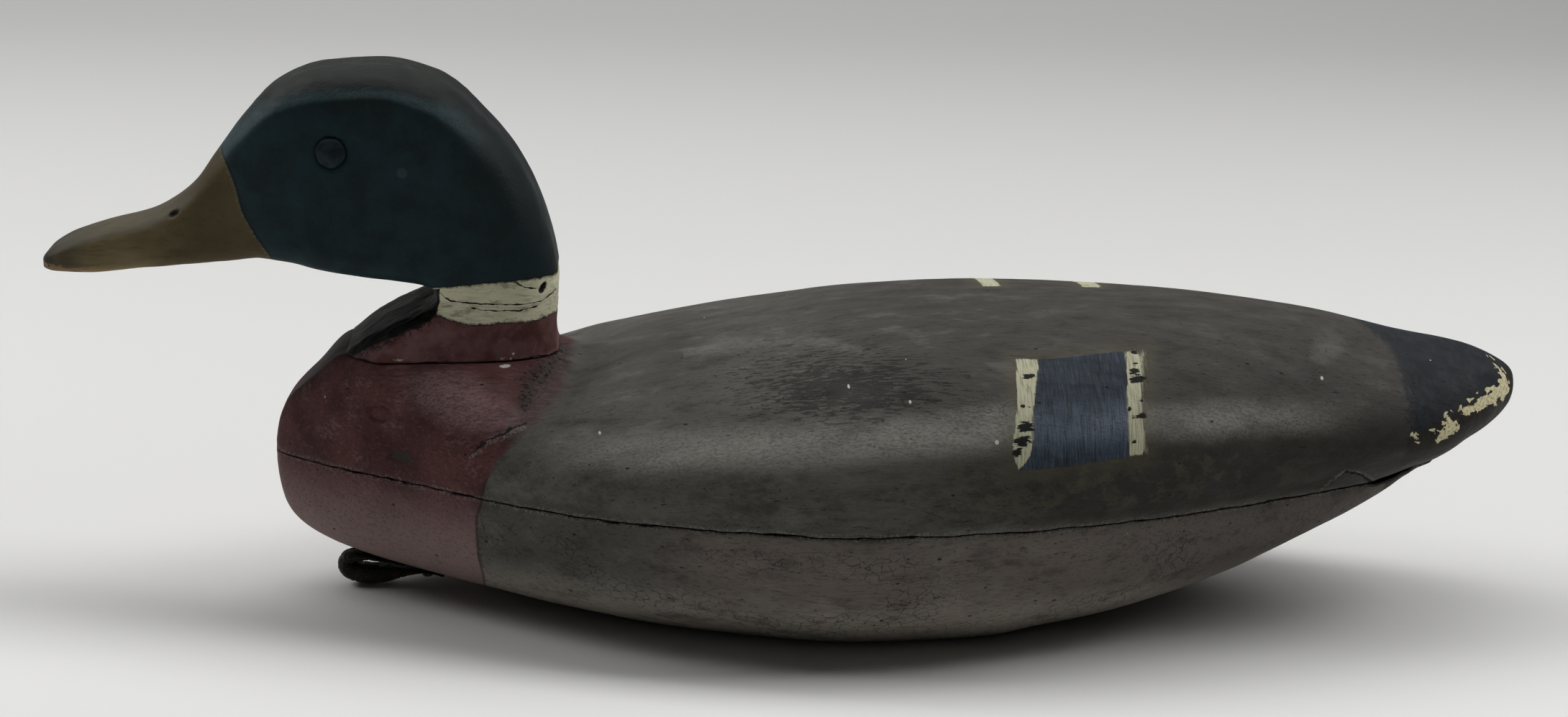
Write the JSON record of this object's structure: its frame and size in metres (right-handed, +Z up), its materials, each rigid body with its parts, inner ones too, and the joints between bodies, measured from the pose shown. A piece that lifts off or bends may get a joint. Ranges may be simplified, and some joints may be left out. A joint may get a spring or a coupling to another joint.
{
  "type": "duck decoy",
  "caption": "Carved and painted wooden mallard drake working decoy on a flat bottom, with tack eyes and a leather line tie under the breast.",
  "frame": {"origin": "centre of the decoy's length and width, on the floor under its flat bottom", "axes": "+X from the bill to the tail, +Y to the bird's right side, +Z up"},
  "size_m": [0.4259, 0.1646, 0.1533],
  "materials": {
    "painted_wood_body": "worn, dull satin paint on wood",
    "painted_wood_head": "worn satin paint on wood",
    "painted_tack": "painted over, satin",
    "thong": "dark, waxy and worn",
    "nail": "dull, rubbed bright"
  },
  "bodies": {
    "root": {"upper_body": "painted_wood_body", "lower_body": "painted_wood_body", "head": "painted_wood_head", "left_eye_tack": "painted_tack", "right_eye_tack": "painted_tack", "line_tie_loop": "thong", "line_tie_nail": "nail"}
  },
  "joints": []
}
